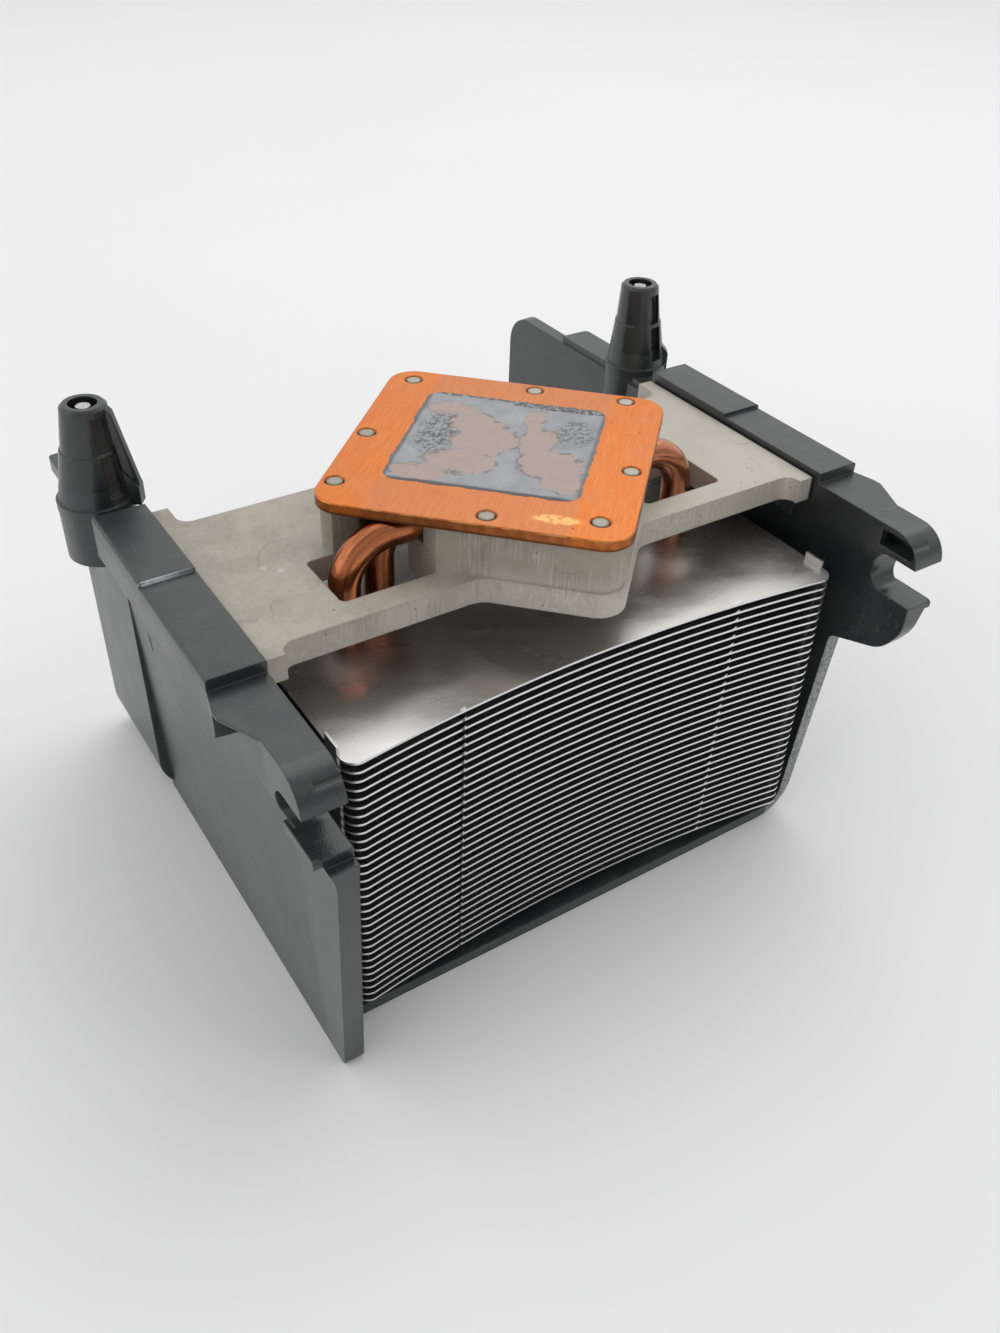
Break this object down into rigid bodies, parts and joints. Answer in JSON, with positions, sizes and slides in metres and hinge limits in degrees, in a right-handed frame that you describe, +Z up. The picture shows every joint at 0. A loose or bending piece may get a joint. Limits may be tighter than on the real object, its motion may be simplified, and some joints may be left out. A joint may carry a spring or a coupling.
{
  "type": "cpu heatsink",
  "caption": "Processor heatsink in a black plastic duct: copper contact plate on a cast bracket, bent heat pipes, stacked aluminium fins, front hooks and captive screws in rear posts.",
  "frame": {"origin": "middle of the bounding box, on the duct floor's underside", "axes": "+Z up out of the copper contact plate, +Y from the hooks to the screw posts, +X to the right along the fins' front edges"},
  "size_m": [0.1246, 0.1226, 0.0835],
  "materials": {
    "shroud_plastic": "moulded, slightly textured black",
    "cast_metal": "rough die-cast, warm grey",
    "copper": "milled copper, lightly worn",
    "pipe_copper": "drawn copper, bright",
    "fin_aluminium": "bright rolled sheet",
    "screw_steel": "plated"
  },
  "bodies": {
    "heatsink": {"shroud": "shroud_plastic", "bracket": "cast_metal", "base_plate": "copper", "heat_pipe_outer": "pipe_copper", "heat_pipe_inner": "pipe_copper", "fin_01": "fin_aluminium", "fin_02": "fin_aluminium", "fin_03": "fin_aluminium", "fin_04": "fin_aluminium", "fin_05": "fin_aluminium", "fin_06": "fin_aluminium", "fin_07": "fin_aluminium", "fin_08": "fin_aluminium", "fin_09": "fin_aluminium", "fin_10": "fin_aluminium", "fin_11": "fin_aluminium", "fin_12": "fin_aluminium", "fin_13": "fin_aluminium", "fin_14": "fin_aluminium", "fin_15": "fin_aluminium", "fin_16": "fin_aluminium", "fin_17": "fin_aluminium", "fin_18": "fin_aluminium", "fin_19": "fin_aluminium", "fin_20": "fin_aluminium", "fin_21": "fin_aluminium", "fin_22": "fin_aluminium", "fin_23": "fin_aluminium", "fin_24": "fin_aluminium", "fin_25": "fin_aluminium", "fin_26": "fin_aluminium", "fin_27": "fin_aluminium", "fin_28": "fin_aluminium", "fin_29": "fin_aluminium", "fin_30": "fin_aluminium", "fin_31": "fin_aluminium", "fin_32": "fin_aluminium"},
    "left_screw": {"captive_screw_left": "screw_steel"},
    "right_screw": {"captive_screw_right": "screw_steel"}
  },
  "joints": [
    {"name": "left_screw_travel", "type": "slide", "parent": "heatsink", "child": "left_screw", "axis": [0, 0, 1], "range_m": [0, 0.004]},
    {"name": "right_screw_travel", "type": "slide", "parent": "heatsink", "child": "right_screw", "axis": [0, 0, 1], "range_m": [0, 0.004]}
  ]
}
